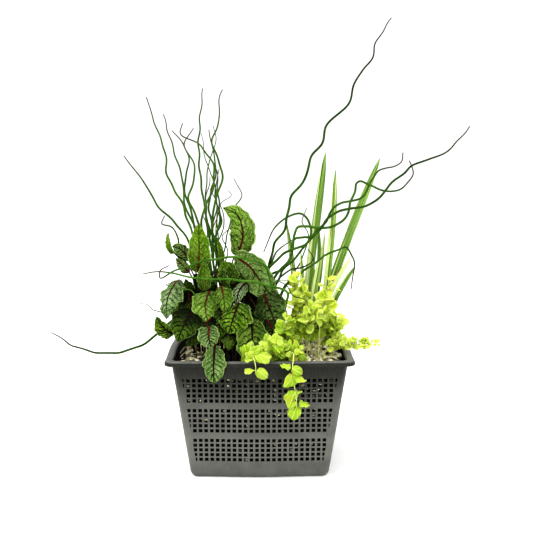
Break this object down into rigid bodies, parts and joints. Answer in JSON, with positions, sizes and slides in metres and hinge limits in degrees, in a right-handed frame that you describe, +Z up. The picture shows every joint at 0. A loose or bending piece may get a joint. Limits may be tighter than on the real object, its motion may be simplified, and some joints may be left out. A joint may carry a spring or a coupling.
{
  "type": "planted pond basket",
  "caption": "Square mesh pond basket of compost and gravel, planted with corkscrew rush, red-veined dock, striped iris and golden moneywort; stands on its base.",
  "frame": {"origin": "middle of the basket's flat underside", "axes": "+Z up, -Y towards the front that the picture shows, +X to the viewer's right"},
  "size_m": [0.5326, 0.2454, 0.5853],
  "materials": {
    "basket": "satin moulded plastic",
    "soil": "dark wet compost",
    "gravel": "matte mixed pea gravel",
    "rush": "smooth green stem",
    "dock": "soft leaf with dark red veins",
    "iris": "smooth striped blade",
    "moneywort": "soft golden leaf"
  },
  "bodies": {
    "root": {"basket": "basket", "soil": "soil", "gravel": "gravel", "rush_left_01": "rush", "rush_left_02": "rush", "rush_left_03": "rush", "rush_left_04": "rush", "rush_left_05": "rush", "rush_left_06": "rush", "rush_left_07": "rush", "rush_left_08": "rush", "rush_left_09": "rush", "rush_left_10": "rush", "rush_left_11": "rush", "rush_low_01": "rush", "rush_cross_01": "rush", "rush_cross_02": "rush", "rush_right_01": "rush", "rush_right_02": "rush", "rush_right_03": "rush", "rush_right_04": "rush", "rush_arch_01": "rush", "rush_arch_02": "rush", "dock_leaf_01": "dock", "dock_leaf_02": "dock", "dock_leaf_03": "dock", "dock_leaf_04": "dock", "dock_leaf_05": "dock", "dock_leaf_06": "dock", "dock_leaf_07": "dock", "dock_leaf_08": "dock", "dock_leaf_09": "dock", "dock_leaf_10": "dock", "dock_leaf_11": "dock", "dock_leaf_12": "dock", "dock_leaf_13": "dock", "dock_leaf_14": "dock", "dock_leaf_15": "dock", "dock_leaf_16": "dock", "dock_leaf_17": "dock", "dock_leaf_18": "dock", "dock_leaf_19": "dock", "dock_leaf_20": "dock", "iris_blade_01": "iris", "iris_blade_02": "iris", "iris_blade_03": "iris", "iris_blade_04": "iris", "iris_blade_05": "iris", "iris_blade_06": "iris", "iris_blade_07": "iris", "iris_blade_08": "iris", "moneywort_01": "moneywort", "moneywort_02": "moneywort", "moneywort_03": "moneywort", "moneywort_04": "moneywort", "moneywort_05": "moneywort", "moneywort_06": "moneywort", "moneywort_07": "moneywort", "moneywort_08": "moneywort", "moneywort_09": "moneywort"}
  },
  "joints": []
}
